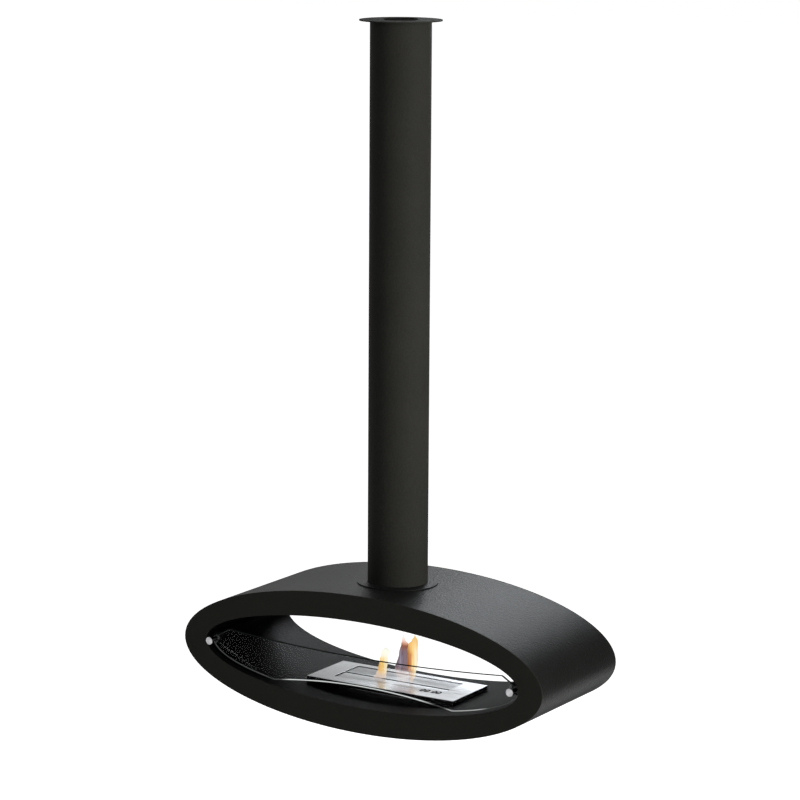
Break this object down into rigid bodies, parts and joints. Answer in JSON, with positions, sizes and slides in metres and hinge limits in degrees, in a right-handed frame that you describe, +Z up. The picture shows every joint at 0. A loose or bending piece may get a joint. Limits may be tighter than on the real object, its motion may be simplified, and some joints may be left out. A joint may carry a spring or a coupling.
{
  "type": "hanging fireplace",
  "caption": "Elliptical ring fireplace of black sheet steel hung from the ceiling by a round tube, with a liquid-fuel burner insert, regulator slide and a front glass pane held by knobs",
  "frame": {"origin": "centre of the ceiling plate's top face, where the fireplace hangs from the ceiling", "axes": "+Z up, the front with the glass pane towards -Y, +X to the right as seen from the front"},
  "size_m": [1.038, 0.382, 1.738],
  "materials": {
    "black_coat": "matt black powder coat with a fine grain",
    "zinc": "zinc plated",
    "glass": "clear heat-resistant glass with polished edges",
    "silicone": "matt",
    "stainless": "satin brushed",
    "ceramic_fibre": "matt felt"
  },
  "bodies": {
    "body": {"ceiling_plate": "black_coat", "clamp_screw_left": "black_coat", "clamp_screw_right": "black_coat", "hanging_tube": "black_coat", "tube_foot_plate": "black_coat", "foot_collar": "black_coat", "outer_shell": "black_coat", "inner_liner": "black_coat", "front_face": "black_coat", "rear_face": "black_coat", "bridge_plate": "zinc", "burner_well": "zinc", "rib_bottom_left": "zinc", "rib_bottom_right": "zinc", "rib_top_left": "zinc", "rib_top_right": "zinc", "hanger_bolt_1": "zinc", "hanger_bolt_2": "zinc", "hanger_bolt_3": "zinc", "hanger_bolt_4": "zinc", "hanger_nut_1": "zinc", "hanger_nut_2": "zinc", "hanger_nut_3": "zinc", "hanger_nut_4": "zinc", "hanger_spacer_1": "zinc", "hanger_spacer_2": "zinc", "hanger_spacer_3": "zinc", "hanger_spacer_4": "zinc", "glass_pane": "glass", "pane_tab_left": "black_coat", "pane_tab_right": "black_coat", "pane_stud_left": "zinc", "pane_stud_right": "zinc", "washer_back_left": "silicone", "washer_back_right": "silicone"},
    "burner": {"burner_housing": "black_coat", "burner_top_plate": "stainless", "burner_tank": "stainless", "fibre_pad": "ceramic_fibre", "fixed_cover": "stainless", "slide_rail_left": "stainless", "slide_rail_right": "stainless"},
    "regulator": {"regulator_slide": "stainless"},
    "washer_left": {"washer_front_left": "silicone"},
    "washer_right": {"washer_front_right": "silicone"},
    "knob_left": {"glass_knob_left": "stainless"},
    "knob_right": {"glass_knob_right": "stainless"}
  },
  "joints": [
    {"name": "burner_lift", "type": "slide", "parent": "body", "child": "burner", "axis": [0, 0, 1], "range_m": [0, 0.07]},
    {"name": "regulator_travel", "type": "slide", "parent": "burner", "child": "regulator", "axis": [0, -1, 0], "range_m": [-0.0055, 0.025]},
    {"name": "knob_advance_left", "type": "slide", "parent": "body", "child": "washer_left", "axis": [0, -1, 0], "range_m": [0, 0.005]},
    {"name": "knob_advance_right", "type": "slide", "parent": "body", "child": "washer_right", "axis": [0, -1, 0], "range_m": [0, 0.005]},
    {"name": "knob_turn_left", "type": "hinge", "parent": "washer_left", "child": "knob_left", "pos_m": [-0.436, -0.18, -1.563], "axis": [0, -1, 0], "range_deg": [0, 1800]},
    {"name": "knob_turn_right", "type": "hinge", "parent": "washer_right", "child": "knob_right", "pos_m": [0.436, -0.18, -1.563], "axis": [0, -1, 0], "range_deg": [0, 1800]}
  ],
  "couplings": [
    {"joint": "knob_turn_left", "follows": "knob_advance_left", "rad_per_m": 6283},
    {"joint": "knob_turn_right", "follows": "knob_advance_right", "rad_per_m": 6283}
  ]
}
